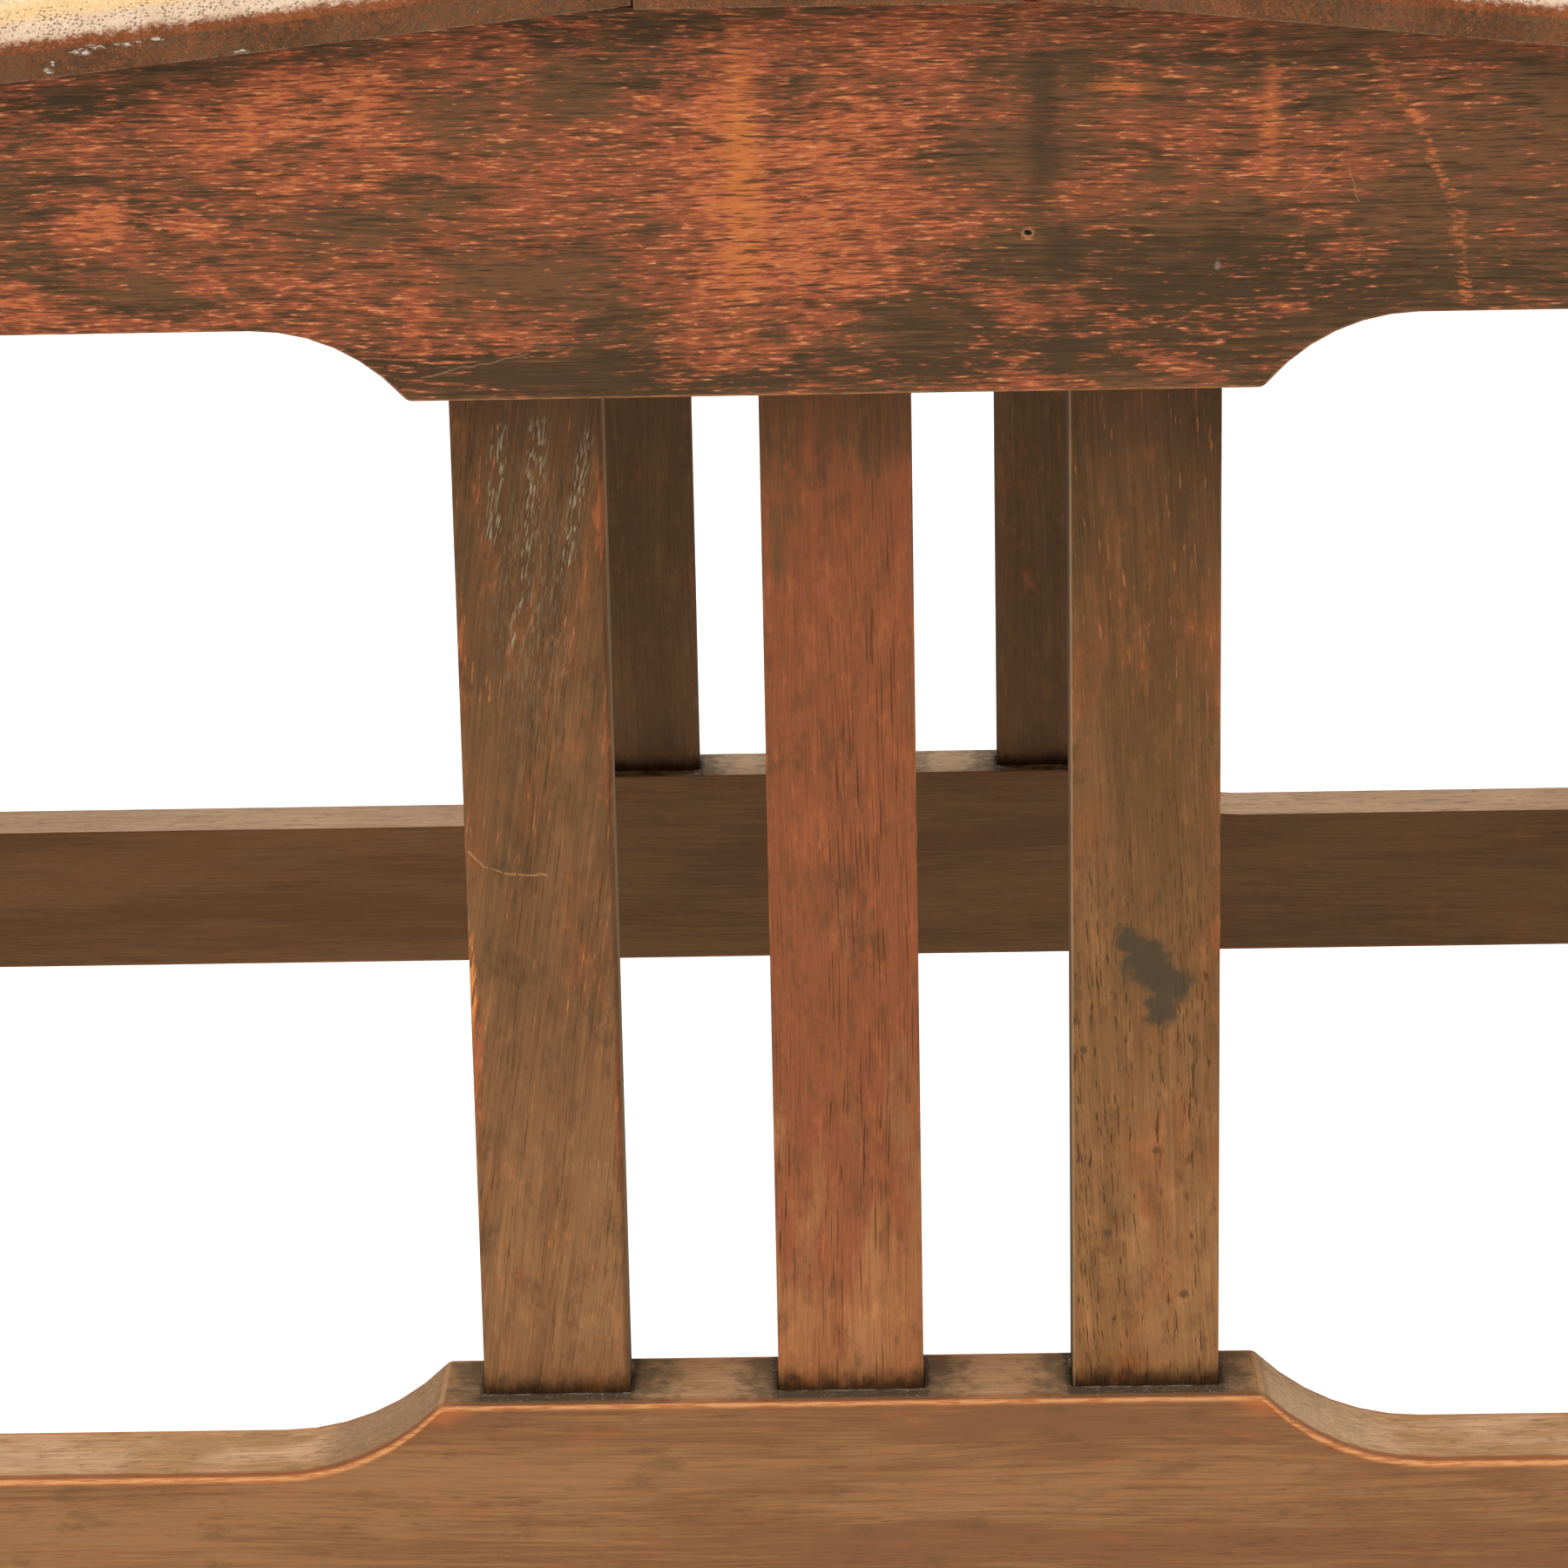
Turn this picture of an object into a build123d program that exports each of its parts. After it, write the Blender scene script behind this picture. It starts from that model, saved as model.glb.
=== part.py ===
from build123d import *
from collections import namedtuple
import math
import os

# A two-place window bench in oak, without a back: four square legs, and on each of the
# four sides an apron and a stretcher joined by three slats. The seat is dished twice.
# Lengths are in millimetres. X runs along the bench, -Y is the front and Z is up.
# The origin is on the floor under the middle of the bench.

# Frame
frame_length = 1110.0
frame_depth = 457.8
leg_size = 44.0
leg_reveal = 1.5
foot_chamfer = 2.0
rail_thickness = 22.2

# Heights of a side, from the floor up
floor_clearance = 141.0
stretcher_height = 36.3
stretcher_rise = 12.7
slat_opening = 177.6
pendant_drop = 12.1
apron_height = 51.7

# Raised middle of a stretcher and pendant of an apron
rise_half_width = 71.6
rise_cove_radius = 41.0
pendant_half_width = 70.5
pendant_cove_radius = 33.0
swell_corner_radius = 2.0

# Slats
slat_width = 25.4
slat_thickness = 9.5
slat_pitch = 51.5
slat_tenon_length = 16.0
slat_clearance = 0.2

# Mortise and tenon joints at the legs
tenon_thickness = 8.0
tenon_length = 22.0
tenon_shoulder = 6.0
tenon_clearance = 0.15
mortise_end_clearance = 1.0
peg_diameter = 6.4
peg_length = 26.0
peg_proud = 0.4
peg_clearance = 0.1
peg_place_share = 0.45

# Seat: two dishes between a flat ridge in the middle and flat ends over the legs
seat_thickness = 12.7
seat_overhang_front = 2.0
seat_overhang_end = 6.0
nosing_radius = 8.3
seat_corner_radius = 10.0
ridge_half_width = 33.0
dish_blend = 9.0
dish_straight = 100.0
dish_angle = 6.0
board_lap = 1.5
board_gap = 0.3
boards_per_dish = 4

# Bearer across the middle, and cleats along the inside of the aprons
bearer_width = 22.0
bearer_height = 40.0
bearer_tenon_length = 10.0
bearer_tenon_thickness = 10.0
bearer_tenon_shoulder = 6.0
bearer_screw_place_share = 0.3
cleat_width = 18.0
cleat_setback = 27.0
end_cleat_setback = 30.0
cleat_floor = 1.0
end_screw_place_share = 0.8
end_side_screw_place_share = 0.4

# Round-head wood screws
screw_length = 30.0
screw_diameter = 4.2
screw_head_diameter = 8.0
screw_head_height = 2.6
screw_slot_width = 1.0
screw_slot_depth = 1.0
screw_tip_length = 5.0
screw_bite = 8.0
screw_clearance = 0.1

# Levels and spans that follow from the sizes above
stretcher_top = floor_clearance + stretcher_height
rise_top = stretcher_top + stretcher_rise
pendant_bottom = rise_top + slat_opening
apron_bottom = pendant_bottom + pendant_drop
apron_top = apron_bottom + apron_height
long_half_span = frame_length / 2 - leg_size
end_half_span = frame_depth / 2 - leg_size
long_outer = frame_depth / 2 - leg_reveal
end_outer = frame_length / 2 - leg_reveal
seat_half_depth = frame_depth / 2 + seat_overhang_front
seat_half_length = frame_length / 2 + seat_overhang_end

# Places along one dish, and its fall below the top of the apron
dish_slope = math.tan(math.radians(dish_angle))
dish_half_slope = math.tan(math.radians(dish_angle) / 2)
dish_middle = (ridge_half_width + long_half_span) / 2
blend_end = ridge_half_width + dish_blend
straight_end = blend_end + dish_straight
blend_fall = dish_blend * dish_half_slope
straight_fall = blend_fall + dish_straight * dish_slope
dish_fall = straight_fall + (dish_middle - straight_end) * dish_half_slope
first_joint = ridge_half_width - board_lap
last_joint = long_half_span + board_lap
board_width = (last_joint - first_joint) / boards_per_dish
screw_depth_below_seat = screw_length - screw_bite
cleat_bottom = apron_top - dish_fall - screw_depth_below_seat - cleat_floor
end_cleat_bottom = apron_top - screw_depth_below_seat - cleat_floor

# The four sides. Each is built with its outer face at Y = 0 and its inside towards +Y,
# then turned about Z and moved out to its place.
Side = namedtuple("Side", "turn outer half_span dished legs slats")
sides = {
    "front": Side(0, long_outer, long_half_span, True,
                  ("front_left", "front_right"), ("left", "centre", "right")),
    "right_end": Side(90, end_outer, end_half_span, False,
                      ("front_right", "rear_right"), ("front", "centre", "rear")),
    "rear": Side(180, long_outer, long_half_span, True,
                 ("rear_right", "rear_left"), ("right", "centre", "left")),
    "left_end": Side(270, end_outer, end_half_span, False,
                     ("rear_left", "front_left"), ("rear", "centre", "front")),
}
leg_corners = {
    "front_left": (-1, -1),
    "front_right": (1, -1),
    "rear_right": (1, 1),
    "rear_left": (-1, 1),
}


def on_side(side, shape):
    """Turn and move a shape from a side's own frame to the bench."""
    return Rot(0, 0, side.turn) * Pos(0, -side.outer, 0) * shape


def block(low, high):
    """A box between two opposite corners."""
    size = [b - a for a, b in zip(low, high)]
    middle = [(a + b) / 2 for a, b in zip(low, high)]
    return Pos(*middle) * Box(*size)


def slab(outline, depth, start=0.0):
    """Extrude an outline drawn in X and Z towards +Y."""
    return Pos(0, start, 0) * extrude(Plane.XZ * outline, amount=depth, dir=(0, 1, 0))


def both_halves(half_outline):
    """Join the right half of an outline to its mirror image."""
    return half_outline + mirror(half_outline, Plane.YZ)


def fall_at(x):
    """Fall of the dish below the top of the apron, at a distance x from its middle."""
    to_middle = abs(x - dish_middle)
    straight = dish_middle - straight_end
    if to_middle > straight:
        return straight_fall - (to_middle - straight) * dish_slope
    radius = straight / math.sin(math.radians(dish_angle))
    return dish_fall - radius + math.sqrt(radius ** 2 - to_middle ** 2)


def dish_lines(level, with_blends):
    """Lines of one dish at a level, from the ridge out to the leg."""
    mirrored = 2 * dish_middle
    down = (1, -dish_slope)
    up = (1, dish_slope)
    inner = (straight_end, level - straight_fall)
    outer = (mirrored - straight_end, level - straight_fall)
    bottom = TangentArc(inner, outer, tangent=down)
    if with_blends:
        ridge = (ridge_half_width, level)
        inner_blend = (blend_end, level - blend_fall)
        outer_blend = (mirrored - blend_end, level - blend_fall)
        return [
            TangentArc(ridge, inner_blend, tangent=(1, 0)),
            Line(inner_blend, inner),
            bottom,
            Line(outer, outer_blend),
            TangentArc(outer_blend, (long_half_span, level), tangent=up),
        ]
    return [
        Line((first_joint, level - fall_at(first_joint)), inner),
        bottom,
        Line(outer, (last_joint, level - fall_at(last_joint))),
    ]


def cove_start(half_width, radius, height):
    """Place along a rail where the cove leaves the straight edge."""
    return half_width + math.sqrt(radius ** 2 - (radius - height) ** 2)


def round_swell_corner(half_outline, half_width, level):
    """Ease the corner between a cove and the edge of the swelling."""
    corner = half_outline.vertices().sort_by_distance((half_width, level))[0]
    return fillet(corner, radius=swell_corner_radius)


def apron_outline(side):
    """Outline of an apron: a pendant below, and on the long sides two dishes above."""
    tangent_x = cove_start(pendant_half_width, pendant_cove_radius, pendant_drop)
    inner_top = ridge_half_width if side.dished else side.half_span
    edges = [Line((0, pendant_bottom), (0, apron_top)), Line((0, apron_top), (inner_top, apron_top))]
    if side.dished:
        edges += dish_lines(apron_top, True)
    edges += [
        Line((side.half_span, apron_top), (side.half_span, apron_bottom)),
        Line((side.half_span, apron_bottom), (tangent_x, apron_bottom)),
        TangentArc((tangent_x, apron_bottom), (pendant_half_width, pendant_bottom), tangent=(-1, 0)),
        Line((pendant_half_width, pendant_bottom), (0, pendant_bottom)),
    ]
    half = round_swell_corner(make_face(edges), pendant_half_width, pendant_bottom)
    return both_halves(half)


def stretcher_outline(side):
    """Outline of a stretcher: straight below, raised above between two coves."""
    tangent_x = cove_start(rise_half_width, rise_cove_radius, stretcher_rise)
    edges = [
        Line((0, floor_clearance), (0, rise_top)),
        Line((0, rise_top), (rise_half_width, rise_top)),
        TangentArc((tangent_x, stretcher_top), (rise_half_width, rise_top), tangent=(-1, 0)),
        Line((tangent_x, stretcher_top), (side.half_span, stretcher_top)),
        Line((side.half_span, stretcher_top), (side.half_span, floor_clearance)),
        Line((side.half_span, floor_clearance), (0, floor_clearance)),
    ]
    half = round_swell_corner(make_face(edges), rise_half_width, rise_top)
    return both_halves(half)


def tenon_levels(bottom, top):
    """Lower and upper face of a tenon on a rail between two levels."""
    return bottom + tenon_shoulder, top - tenon_shoulder


rail_levels = {
    "apron": tenon_levels(apron_bottom, apron_top),
    "stretcher": tenon_levels(floor_clearance, stretcher_top),
}


def tenon_faces():
    """Outer and inner face of a tenon, in the middle of the rail's thickness."""
    shoulder = (rail_thickness - tenon_thickness) / 2
    return shoulder, shoulder + tenon_thickness


def tenon(side, rail, end, clearance=0.0, extra=0.0):
    """One end tenon. With a clearance it is the cutter of its mortise."""
    low_z, high_z = rail_levels[rail]
    low_y, high_y = tenon_faces()
    reach = end * (side.half_span + tenon_length + extra)
    root = end * side.half_span
    return block(
        (min(root, reach), low_y - clearance, low_z - clearance),
        (max(root, reach), high_y + clearance, high_z + clearance),
    )


def peg_place(side, rail, end):
    """Place of a peg on the outer face of the leg."""
    x = end * (side.half_span + tenon_length * peg_place_share)
    return Pos(x, -leg_reveal, sum(rail_levels[rail]) / 2) * Rot(-90, 0, 0)


def peg():
    """A round peg that runs from just outside the leg towards its middle."""
    whole = Cylinder(peg_diameter / 2, peg_length, align=(Align.CENTER, Align.CENTER, Align.MIN))
    rim = whole.edges().group_by(Axis.Z)[0]
    return Pos(0, 0, -peg_proud) * chamfer(rim, length=peg_proud)


def peg_hole():
    """Blind hole for a peg."""
    depth = peg_length - peg_proud + peg_clearance
    radius = peg_diameter / 2 + peg_clearance
    return Cylinder(radius, depth, align=(Align.CENTER, Align.CENTER, Align.MIN))


def slat_places():
    """Middle of each slat along its side."""
    return [-slat_pitch, 0.0, slat_pitch]


def slat_box(x, clearance=0.0, low=None, high=None):
    """A slat with both its ends let into the rails, or the cutter of its mortise."""
    low_y = (rail_thickness - slat_thickness) / 2
    low_z = rise_top - slat_tenon_length if low is None else low
    high_z = pendant_bottom + slat_tenon_length if high is None else high
    return block(
        (x - slat_width / 2 - clearance, low_y - clearance, low_z),
        (x + slat_width / 2 + clearance, low_y + slat_thickness + clearance, high_z),
    )


def slat_mortises(rail):
    """Cutters of the three slat mortises in an apron or a stretcher."""
    depth = slat_tenon_length + slat_clearance
    if rail == "apron":
        low, high = pendant_bottom, pendant_bottom + depth
    else:
        low, high = rise_top - depth, rise_top
    return [slat_box(x, slat_clearance, low, high) for x in slat_places()]


def make_rail(side, rail):
    """An apron or a stretcher with its tenons, mortises and peg holes."""
    outline = apron_outline(side) if rail == "apron" else stretcher_outline(side)
    body = slab(outline, rail_thickness)
    for end in (-1, 1):
        body += tenon(side, rail, end)
    for cutter in slat_mortises(rail):
        body -= cutter
    for end in (-1, 1):
        body -= peg_place(side, rail, end) * peg_hole()
    return body


def make_leg(corner):
    """A square leg with two pairs of mortises and their peg holes."""
    x_sign, y_sign = leg_corners[corner]
    middle_x = x_sign * (frame_length - leg_size) / 2
    middle_y = y_sign * (frame_depth - leg_size) / 2
    leg = Box(leg_size, leg_size, apron_top, align=(Align.CENTER, Align.CENTER, Align.MIN))
    leg = chamfer(leg.faces().sort_by(Axis.Z)[0].edges(), length=foot_chamfer)
    leg = Pos(middle_x, middle_y, 0) * leg
    for side in sides.values():
        if corner not in side.legs:
            continue
        end = -1 if side.legs[0] == corner else 1
        for rail in rail_levels:
            leg -= on_side(side, tenon(side, rail, end, tenon_clearance, mortise_end_clearance))
            leg -= on_side(side, peg_place(side, rail, end) * peg_hole())
    return leg


def make_screw():
    """A slotted round-head wood screw that points up, seated at Z = 0."""
    head_radius = screw_head_diameter / 2
    shank_radius = screw_diameter / 2
    shank_end = screw_length - screw_tip_length
    outline = make_face([
        TangentArc((0, -screw_head_height), (head_radius, 0), tangent=(1, 0)),
        Line((head_radius, 0), (shank_radius, 0)),
        Line((shank_radius, 0), (shank_radius, shank_end)),
        Line((shank_radius, shank_end), (0, screw_length)),
        Line((0, screw_length), (0, -screw_head_height)),
    ])
    slot = block(
        (-head_radius, -screw_slot_width / 2, -screw_head_height),
        (head_radius, screw_slot_width / 2, screw_slot_depth - screw_head_height),
    )
    return revolve(Plane.XZ * outline, axis=Axis.Z) - slot


def screw_hole(counterbore=0.0):
    """Hole for a screw that points up, with room below it for the head."""
    upward = (Align.CENTER, Align.CENTER, Align.MIN)
    downward = (Align.CENTER, Align.CENTER, Align.MAX)
    hole = Cylinder(screw_diameter / 2 + screw_clearance, screw_length + screw_clearance, align=upward)
    if counterbore > 0:
        head_radius = screw_head_diameter / 2 + screw_clearance
        hole += Cylinder(head_radius, counterbore, align=downward)
    return hole


# Screws into the seat boards stand upright. Screws into the aprons lie level.
cleat_middle_y = rail_thickness + cleat_width / 2
screw_outward = Rot(90, 0, 0)
board_middles = [first_joint + (i + 0.5) * board_width for i in range(boards_per_dish)]
board_joints = [first_joint + i * board_width for i in range(1, boards_per_dish)]


def seat_screw_places():
    """Upright screws through the right-hand cleat of a long side."""
    places = []
    for x in board_middles:
        level = apron_top - fall_at(x) - screw_depth_below_seat
        places.append(Pos(x, cleat_middle_y, level))
    return places


def side_screw_places():
    """Level screws through the right-hand cleat of a long side into the apron."""
    level = (cleat_bottom + apron_top - dish_fall) / 2
    return [Pos(x, rail_thickness + cleat_width, level) * screw_outward for x in board_joints]


def end_cleat_half_length():
    """Half the length of the cleat inside an end apron."""
    return end_half_span - end_cleat_setback


def end_seat_screw_places():
    """Upright screws through the cleat of an end."""
    level = apron_top - screw_depth_below_seat
    reach = end_cleat_half_length() * end_screw_place_share
    return [Pos(x, cleat_middle_y, level) for x in (-reach, 0.0, reach)]


def end_side_screw_places():
    """Level screws through the cleat of an end into its apron."""
    level = (end_cleat_bottom + apron_top) / 2
    reach = end_cleat_half_length() * end_side_screw_place_share
    return [Pos(x, rail_thickness + cleat_width, level) * screw_outward for x in (-reach, reach)]


def bearer_screw_places():
    """Upright screws through the bearer into the middle seat board."""
    reach = long_outer * 2 * bearer_screw_place_share
    level = apron_top - screw_depth_below_seat
    return [Pos(0, y, level) for y in (-reach, reach)]


def mirrored_places(places):
    """The same places on the other side of a side's middle."""
    return [Pos(-2 * place.position.X, 0, 0) * place for place in places]


def make_cleat():
    """Right-hand cleat of a long side, with its top shaped to the dish."""
    inner = ridge_half_width + cleat_setback
    outer = long_half_span - cleat_setback
    under_dish = make_face(
        dish_lines(apron_top, True)
        + [
            Line((long_half_span, apron_top), (long_half_span, cleat_bottom)),
            Line((long_half_span, cleat_bottom), (ridge_half_width, cleat_bottom)),
            Line((ridge_half_width, cleat_bottom), (ridge_half_width, apron_top)),
        ]
    )
    window = Pos((inner + outer) / 2, (cleat_bottom + apron_top) / 2)
    window = window * Rectangle(outer - inner, apron_top - cleat_bottom)
    cleat = slab(under_dish & window, cleat_width, rail_thickness)
    for place in seat_screw_places():
        cleat -= place * screw_hole(place.position.Z - cleat_bottom)
    for place in side_screw_places():
        cleat -= place * screw_hole()
    return cleat


def make_end_cleat():
    """Cleat inside an end apron."""
    half_length = end_cleat_half_length()
    cleat = block(
        (-half_length, rail_thickness, end_cleat_bottom),
        (half_length, rail_thickness + cleat_width, apron_top),
    )
    for place in end_seat_screw_places():
        cleat -= place * screw_hole(place.position.Z - end_cleat_bottom)
    for place in end_side_screw_places():
        cleat -= place * screw_hole()
    return cleat


def bearer_tenon(end, clearance=0.0):
    """Stub tenon of the bearer, in the bench's own frame, or the cutter of its mortise."""
    inner = long_outer - rail_thickness
    low_y, high_y = sorted((end * inner, end * (inner + bearer_tenon_length + clearance)))
    half = bearer_tenon_thickness / 2 + clearance
    return block(
        (-half, low_y, apron_top - bearer_height + bearer_tenon_shoulder - clearance),
        (half, high_y, apron_top - bearer_tenon_shoulder + clearance),
    )


def make_bearer():
    """Cross rail under the middle seat board, tenoned into both long aprons."""
    inner = long_outer - rail_thickness
    bearer = block(
        (-bearer_width / 2, -inner, apron_top - bearer_height),
        (bearer_width / 2, inner, apron_top),
    )
    for end in (-1, 1):
        bearer += bearer_tenon(end)
    for place in bearer_screw_places():
        bearer -= place * screw_hole(place.position.Z - (apron_top - bearer_height))
    return bearer


def dish_end_edges(dish):
    """Upper edges of the dish along its front and rear ends."""
    end_faces = dish.faces().filter_by(Axis.Y).sort_by(Axis.Y)
    edges = []
    for face in (end_faces[0], end_faces[-1]):
        for edge in face.edges():
            middle = edge.position_at(0.5)
            middle_of_board = apron_top - fall_at(middle.X) + seat_thickness / 2
            upright = edge.geom_type == GeomType.LINE and edge.tangent_at(0).X == 0
            if middle.Z > middle_of_board and not upright:
                edges.append(edge)
    return edges


def make_dish():
    """The right-hand dish in one piece, before it is parted into boards."""
    top = apron_top + seat_thickness
    low_inner = (first_joint, apron_top - fall_at(first_joint))
    low_outer = (last_joint, apron_top - fall_at(last_joint))
    outline = make_face(
        dish_lines(apron_top, False)
        + dish_lines(top, True)
        + [
            Line((ridge_half_width, top), (first_joint, top)),
            Line((first_joint, top), low_inner),
            Line((long_half_span, top), (last_joint, top)),
            Line((last_joint, top), low_outer),
        ]
    )
    dish = slab(outline, 2 * seat_half_depth, -seat_half_depth)
    return fillet(dish_end_edges(dish), radius=nosing_radius)


def make_dish_boards():
    """Boards of the right-hand dish, from the ridge outwards, with their pilot holes."""
    dish = make_dish()
    reach = long_outer - cleat_middle_y
    boards = []
    for x in board_middles:
        half_width = (board_width - board_gap) / 2
        window = block(
            (x - half_width, -seat_half_depth, apron_top - dish_fall),
            (x + half_width, seat_half_depth, apron_top + seat_thickness),
        )
        board = dish & window
        level = apron_top - fall_at(x) - screw_depth_below_seat
        for y in (-reach, reach):
            board -= Pos(x, y, level) * screw_hole()
        boards.append(board)
    return boards


def make_middle_board():
    """Flat board on the ridge between the two dishes."""
    half_width = first_joint - board_gap / 2
    board = block(
        (-half_width, -seat_half_depth, apron_top),
        (half_width, seat_half_depth, apron_top + seat_thickness),
    )
    board_ends = board.faces().sort_by(Axis.Z)[-1].edges().filter_by(Axis.X)
    board = fillet(board_ends, radius=nosing_radius)
    for place in bearer_screw_places():
        board -= place * screw_hole()
    return board


def make_end_board():
    """Flat board over the right-hand pair of legs, with rounded outer corners."""
    board = block(
        (last_joint + board_gap / 2, -seat_half_depth, apron_top),
        (seat_half_length, seat_half_depth, apron_top + seat_thickness),
    )
    corners = board.edges().filter_by(Axis.Z).group_by(Axis.X)[-1]
    board = fillet(corners, radius=seat_corner_radius)
    inner_edge = board.faces().sort_by(Axis.X)[0].edges()
    rim = [edge for edge in board.faces().sort_by(Axis.Z)[-1].edges() if edge not in inner_edge]
    board = fillet(rim, radius=nosing_radius)
    for place in end_seat_screw_places():
        board -= on_side(sides["right_end"], place * screw_hole())
    return board


parts = {}

for corner in leg_corners:
    parts[f"leg_{corner}"] = make_leg(corner)

pegs = []
seat_screws = []
side_screws = []
screw = make_screw()
for name, side in sides.items():
    apron = make_rail(side, "apron")
    if side.dished:
        cleat_side_screws = side_screw_places() + mirrored_places(side_screw_places())
        cleat_seat_screws = seat_screw_places() + mirrored_places(seat_screw_places())
        apron = apron - Pos(0, side.outer, 0) * bearer_tenon(-1, tenon_clearance)
    else:
        cleat_side_screws = end_side_screw_places()
        cleat_seat_screws = end_seat_screw_places()
    for place in cleat_side_screws:
        apron -= place * screw_hole()
    parts[f"{name}_apron"] = on_side(side, apron)
    parts[f"{name}_stretcher"] = on_side(side, make_rail(side, "stretcher"))
    for x, slat_name in zip(slat_places(), side.slats):
        parts[f"{name}_slat_{slat_name}"] = on_side(side, slat_box(x))
    for rail in rail_levels:
        for end in (-1, 1):
            pegs.append(on_side(side, peg_place(side, rail, end) * peg()))
    seat_screws += [on_side(side, place * screw) for place in cleat_seat_screws]
    side_screws += [on_side(side, place * screw) for place in cleat_side_screws]

right_cleat = make_cleat()
left_cleat = mirror(right_cleat, Plane.YZ)
parts["front_right_seat_cleat"] = on_side(sides["front"], right_cleat)
parts["front_left_seat_cleat"] = on_side(sides["front"], left_cleat)
parts["rear_left_seat_cleat"] = on_side(sides["rear"], right_cleat)
parts["rear_right_seat_cleat"] = on_side(sides["rear"], left_cleat)
for name in ("left_end", "right_end"):
    parts[f"{name}_seat_cleat"] = on_side(sides[name], make_end_cleat())
parts["centre_bearer"] = make_bearer()
seat_screws += [place * screw for place in bearer_screw_places()]

parts["middle_seat_board"] = make_middle_board()
for number, board in enumerate(make_dish_boards(), start=1):
    parts[f"right_seat_board_{number}"] = board
    parts[f"left_seat_board_{number}"] = mirror(board, Plane.YZ)
end_board = make_end_board()
parts["right_end_seat_board"] = end_board
parts["left_end_seat_board"] = mirror(end_board, Plane.YZ)

parts["joint_pegs"] = Compound(children=pegs)
parts["seat_board_screws"] = Compound(children=seat_screws)
parts["cleat_screws"] = Compound(children=side_screws)

os.makedirs("parts", exist_ok=True)
for name, shape in parts.items():
    export_step(shape, f"parts/{name}.step")
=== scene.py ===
import math
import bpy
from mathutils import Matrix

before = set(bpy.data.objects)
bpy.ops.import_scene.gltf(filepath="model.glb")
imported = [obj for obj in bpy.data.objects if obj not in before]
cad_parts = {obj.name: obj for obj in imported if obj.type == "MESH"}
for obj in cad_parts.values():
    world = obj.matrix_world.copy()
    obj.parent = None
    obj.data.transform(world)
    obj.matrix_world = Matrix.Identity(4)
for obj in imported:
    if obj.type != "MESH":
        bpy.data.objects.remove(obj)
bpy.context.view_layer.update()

from types import SimpleNamespace

import bpy
from mathutils import Matrix, Vector

# Patterns and marks are given in millimetres, and the scene is in metres.
MM = 1000.0

# Places on the bench in millimetres, as in the CAD source
SLAT_PLACES = (-51.5, 0.0, 51.5)
SLAT_HALF_WIDTH = 12.7
SLAT_FACE = 221.05
RAIL_FACE = 227.4
RAISED_TOP = 190.0
RAISED_HALF_WIDTH = 71.6
BOARD_JOINTS = (31.5, 151.75, 272.0, 392.25, 512.5)
DISH_MIDDLE = 272.0

# The seat's finish is worn off in an oval of these half sizes in each dish, and beyond this depth.
SAT_HALF_LENGTH = 260.0
SAT_HALF_DEPTH = 220.0
RUBBED_DEPTH = 222.0

# Colours are written as they look on the screen. The gloss of a lit face adds this much to each
# channel, so the surface colour is set lower by it, but not below the darkest.
GLOSS = 0.009
DARKEST = 0.0015


# Colours and node graphs

def linear(code):
    """The linear colour of a screen colour written as six hex digits."""
    parts = [int(code[i:i + 2], 16) / 255 for i in (0, 2, 4)]
    return [p / 12.92 if p <= 0.04045 else ((p + 0.055) / 1.055) ** 2.4 for p in parts]


def stain(code):
    """The surface colour that looks like this screen colour on a front face."""
    return [max(part - GLOSS, DARKEST) for part in linear(code)] + [1.0]


class Value:
    """A number, vector or colour that flows through the nodes of one material."""

    def __init__(self, graph, socket):
        self.graph = graph
        self.socket = socket

    def __add__(self, other):
        return self.graph.math("ADD", self, other)

    def __radd__(self, other):
        return self.graph.math("ADD", other, self)

    def __sub__(self, other):
        return self.graph.math("SUBTRACT", self, other)

    def __rsub__(self, other):
        return self.graph.math("SUBTRACT", other, self)

    def __mul__(self, other):
        return self.graph.math("MULTIPLY", self, other)

    def __truediv__(self, other):
        return self.graph.math("DIVIDE", self, other)

    def __abs__(self):
        return self.graph.math("ABSOLUTE", self)

    def over(self, low, high):
        """0 up to low, 1 from high on, and smooth between. High may be below low."""
        return self.graph.smooth(self, low, high)


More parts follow.
